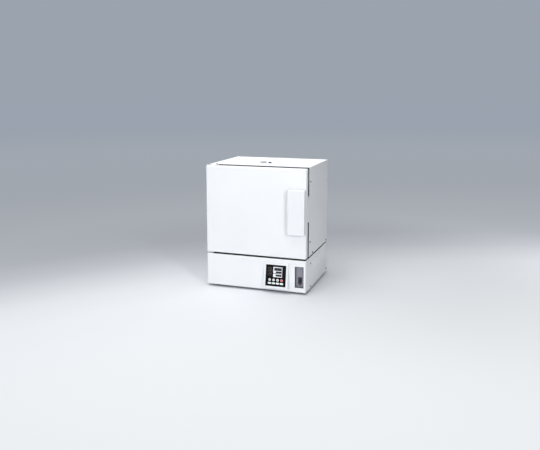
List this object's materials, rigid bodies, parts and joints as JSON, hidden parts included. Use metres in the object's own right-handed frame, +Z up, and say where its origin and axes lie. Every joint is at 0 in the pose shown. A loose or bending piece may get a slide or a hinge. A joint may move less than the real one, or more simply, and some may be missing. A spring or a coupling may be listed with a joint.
{
  "type": "natural convection lab oven",
  "caption": "Bench drying oven for a laboratory: insulated steel cabinet with a side-hinged door, latch handle, wire shelves, top exhaust damper and a low base that holds the controls.",
  "frame": {"origin": "bottom centre of the whole oven, on the surface that its feet stand on", "axes": "+X to the right as seen from the front, -Y out of the door's face, +Z up"},
  "size_m": [0.446, 0.414, 0.5286],
  "materials": {
    "white_paint": "white baked enamel, satin",
    "stainless": "stainless steel, brushed",
    "zinc_steel": "zinc-plated steel, satin",
    "aluminium": "extruded aluminium, satin",
    "mineral_wool": "mineral wool batts",
    "foot_rubber": "black rubber, matte",
    "gasket_silicone": "dark silicone rubber, matte",
    "black_plastic": "black plastic, satin",
    "grey_plastic": "grey plastic, satin",
    "smoked_lens": "smoked clear plastic, glossy",
    "circuit_board": "green circuit board",
    "key_white": "white keycap, satin",
    "key_red": "pink-red keycap, satin",
    "test_red": "dark red plastic, satin",
    "heater_steel": "heat-tinted steel sheath, satin",
    "brass": "turned brass, satin"
  },
  "bodies": {
    "cabinet": {"cabinet_wrap": "white_paint", "cabinet_rear_panel": "white_paint", "cabinet_floor": "white_paint", "front_frame": "white_paint", "hinge_bracket_upper": "white_paint", "hinge_bracket_lower": "white_paint", "base_front_panel": "white_paint", "base_top_plate": "white_paint", "base_rear_panel": "white_paint", "base_side_left": "white_paint", "base_side_right": "white_paint", "controller_bezel": "white_paint", "inner_chamber": "stainless", "heater_cover": "stainless", "shelf_rack_left": "stainless", "shelf_rack_right": "stainless", "shelf_lower": "stainless", "shelf_upper": "stainless", "exhaust_tube": "stainless", "temperature_sensor": "stainless", "overheat_sensor": "stainless", "latch_striker": "zinc_steel", "exhaust_grille": "zinc_steel", "hinge_pin_upper": "zinc_steel", "hinge_pin_lower": "zinc_steel", "base_pan": "zinc_steel", "relay_heatsink": "aluminium", "chamber_insulation": "mineral_wool", "foot_front_left": "foot_rubber", "foot_front_right": "foot_rubber", "foot_rear_left": "foot_rubber", "foot_rear_right": "foot_rubber", "controller_face": "black_plastic", "controller_case": "black_plastic", "solid_state_relay": "black_plastic", "terminal_block": "black_plastic", "cable_gland": "black_plastic", "breaker_body": "grey_plastic", "display_lens": "smoked_lens", "controller_board": "circuit_board", "heater_element": "heater_steel"},
    "door": {"door_outer_shell": "white_paint", "door_inner_panel": "stainless", "door_insulation": "mineral_wool", "door_gasket": "gasket_silicone", "door_bush_upper": "brass", "door_bush_lower": "brass", "handle_bracket": "zinc_steel", "handle_pin": "zinc_steel", "handle_spring": "zinc_steel"},
    "handle": {"handle_paddle": "white_paint", "latch_arm": "white_paint"},
    "damper": {"damper_knob": "black_plastic", "damper_blade": "zinc_steel"},
    "breaker_lever": {"breaker_lever": "black_plastic"},
    "breaker_test_button": {"breaker_test_button": "test_red"},
    "key_down": {"key_down": "key_white"},
    "key_up": {"key_up": "key_white"},
    "key_function": {"key_function": "key_white"},
    "key_run": {"key_run": "key_red"}
  },
  "joints": [
    {"name": "door_hinge", "type": "hinge", "parent": "cabinet", "child": "door", "pos_m": [-0.207, -0.1705, 0.336], "axis": [0, 0, -1], "range_deg": [0, 150]},
    {"name": "handle_pivot", "type": "hinge", "parent": "door", "child": "handle", "pos_m": [0.2075, -0.192, 0.346], "axis": [0, 0, 1], "range_deg": [0, 12], "stiffness_Nm_per_rad": 0.6, "springref_deg": -11.46},
    {"name": "damper_turn", "type": "hinge", "parent": "cabinet", "child": "damper", "pos_m": [0.0147, -0.0328, 0.524], "axis": [0, 0, 1], "range_deg": [0, 60]},
    {"name": "breaker_lever_tip", "type": "hinge", "parent": "cabinet", "child": "breaker_lever", "pos_m": [0.191, -0.1487, 0.0563], "axis": [1, 0, 0], "range_deg": [0, 40]},
    {"name": "breaker_test_press", "type": "slide", "parent": "cabinet", "child": "breaker_test_button", "axis": [0, 1, 0], "range_m": [0, 0.0015], "stiffness_N_per_m": 300, "springref_m": -0.002},
    {"name": "key_down_press", "type": "slide", "parent": "cabinet", "child": "key_down", "axis": [0, 0.9888, -0.1493], "range_m": [0, 0.0008], "stiffness_N_per_m": 300, "springref_m": -0.002},
    {"name": "key_up_press", "type": "slide", "parent": "cabinet", "child": "key_up", "axis": [0, 0.9888, -0.1493], "range_m": [0, 0.0008], "stiffness_N_per_m": 300, "springref_m": -0.002},
    {"name": "key_function_press", "type": "slide", "parent": "cabinet", "child": "key_function", "axis": [0, 0.9888, -0.1493], "range_m": [0, 0.0008], "stiffness_N_per_m": 300, "springref_m": -0.002},
    {"name": "key_run_press", "type": "slide", "parent": "cabinet", "child": "key_run", "axis": [0, 0.9888, -0.1493], "range_m": [0, 0.0008], "stiffness_N_per_m": 300, "springref_m": -0.002}
  ]
}
